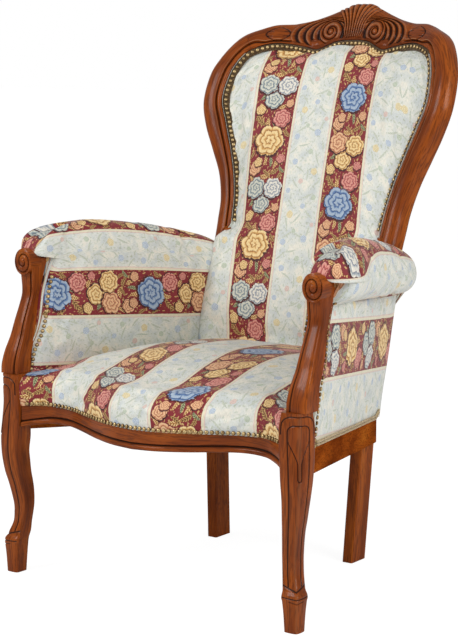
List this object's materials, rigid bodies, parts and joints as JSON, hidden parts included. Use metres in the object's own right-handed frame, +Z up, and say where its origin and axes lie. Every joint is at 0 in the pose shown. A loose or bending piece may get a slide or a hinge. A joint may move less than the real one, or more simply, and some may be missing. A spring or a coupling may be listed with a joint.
{
  "type": "bergere armchair",
  "caption": "High-backed bergere armchair with a carved show-wood frame, cabriole front legs, scrolled arm posts, rolled closed arms and a nailed floral stripe cover.",
  "frame": {"origin": "on the floor under the middle of the chair: centre of its width and of its overall depth", "axes": "+Z up, the sitter faces -Y, +X to the right of someone facing the chair"},
  "size_m": [0.7648, 0.799, 1.0979],
  "materials": {
    "show_wood": "glossy walnut-stained varnish",
    "plain_wood": "sawn, unfinished",
    "dowel_wood": "plain beech, unfinished",
    "stripe_fabric": "woven floral stripe, pale and claret",
    "back_fabric": "plain pale woven cloth",
    "foam": "open-cell upholstery foam",
    "webbing": "elastic webbing",
    "dust_cloth": "thin black lining cloth"
  },
  "bodies": {
    "root": {"front_leg_left": "show_wood", "rear_leg_left": "show_wood", "arm_post_left": "show_wood", "back_stile_left": "show_wood", "side_rail_left": "show_wood", "corner_block_front_left": "plain_wood", "corner_block_rear_left": "plain_wood", "arm_top_rail_left": "plain_wood", "arm_stuffing_rail_left": "plain_wood", "post_dowel_left": "dowel_wood", "stile_dowel_left": "dowel_wood", "crest_dowel_left": "dowel_wood", "arm_pad_left": "foam", "arm_cover_left": "stripe_fabric", "front_leg_right": "show_wood", "rear_leg_right": "show_wood", "arm_post_right": "show_wood", "back_stile_right": "show_wood", "side_rail_right": "show_wood", "corner_block_front_right": "plain_wood", "corner_block_rear_right": "plain_wood", "arm_top_rail_right": "plain_wood", "arm_stuffing_rail_right": "plain_wood", "post_dowel_right": "dowel_wood", "stile_dowel_right": "dowel_wood", "crest_dowel_right": "dowel_wood", "arm_pad_right": "foam", "arm_cover_right": "stripe_fabric", "front_rail": "show_wood", "back_seat_rail": "show_wood", "back_lower_rail": "plain_wood", "crest_rail": "show_wood", "seat_web_long_1": "webbing", "seat_web_long_2": "webbing", "seat_web_long_3": "webbing", "seat_web_long_4": "webbing", "seat_web_cross_1": "webbing", "seat_web_cross_2": "webbing", "seat_web_cross_3": "webbing", "back_web_1": "webbing", "back_web_2": "webbing", "back_web_3": "webbing", "seat_pad": "foam", "seat_cover": "stripe_fabric", "back_pad": "foam", "inside_back_cover": "stripe_fabric", "outside_back_cover": "back_fabric", "dust_cover": "dust_cloth"}
  },
  "joints": []
}
